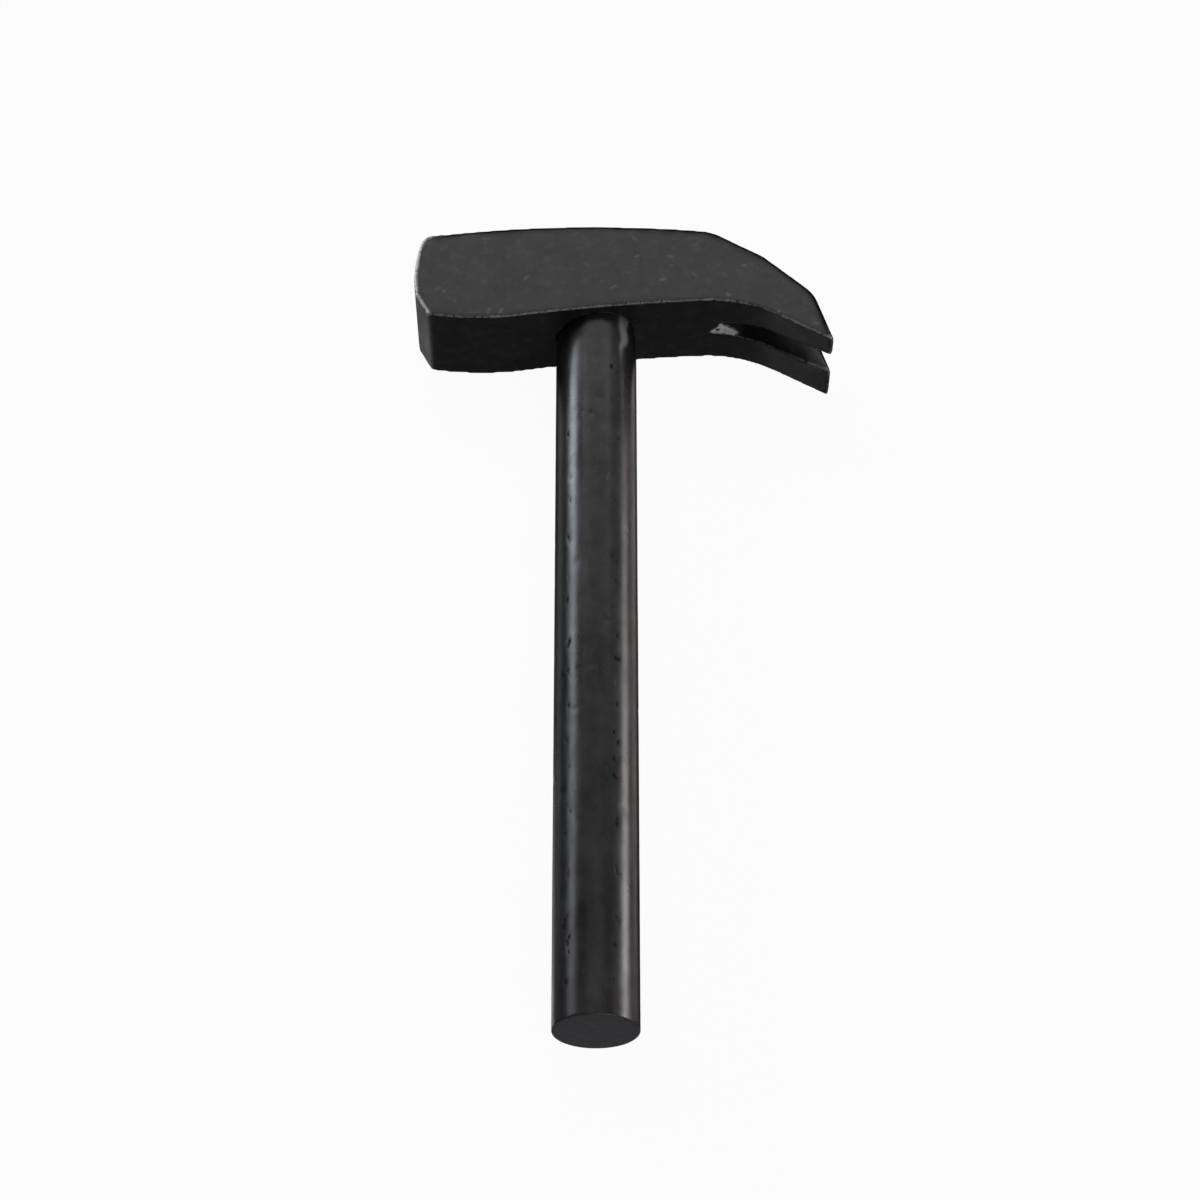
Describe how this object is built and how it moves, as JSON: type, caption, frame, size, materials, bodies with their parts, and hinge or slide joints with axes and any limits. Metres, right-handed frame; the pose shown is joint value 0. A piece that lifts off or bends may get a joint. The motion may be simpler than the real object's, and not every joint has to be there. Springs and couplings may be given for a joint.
{
  "type": "blacksmith hammer",
  "caption": "Forged claw hammer head with a flat striking face and a split curved claw, wedged on a straight round black handle.",
  "frame": {"origin": "on the lower cheek of the head, the flat side that the hammer lies on, straight under the centre of the eye and the handle's axis", "axes": "+X from the handle's axis towards the claw, so the striking face is at -X; +Y up the handle from its butt to the head; +Z from the lower cheek to the upper cheek"},
  "size_m": [0.1402, 0.2877, 0.0338],
  "materials": {
    "black_forged_steel": "forged steel under a worn satin black finish, bare at the claw's root",
    "black_lacquered_wood": "turned hardwood under semi-gloss black lacquer with small pits and scratches",
    "wedge_wood": "end grain of a hardwood wedge, trimmed and stained dark",
    "wedge_steel": "hammered mild steel, dulled"
  },
  "bodies": {
    "root": {"hammer_head": "black_forged_steel", "handle": "black_lacquered_wood", "wooden_wedge": "wedge_wood", "steel_wedge_1": "wedge_steel", "steel_wedge_2": "wedge_steel"}
  },
  "joints": []
}
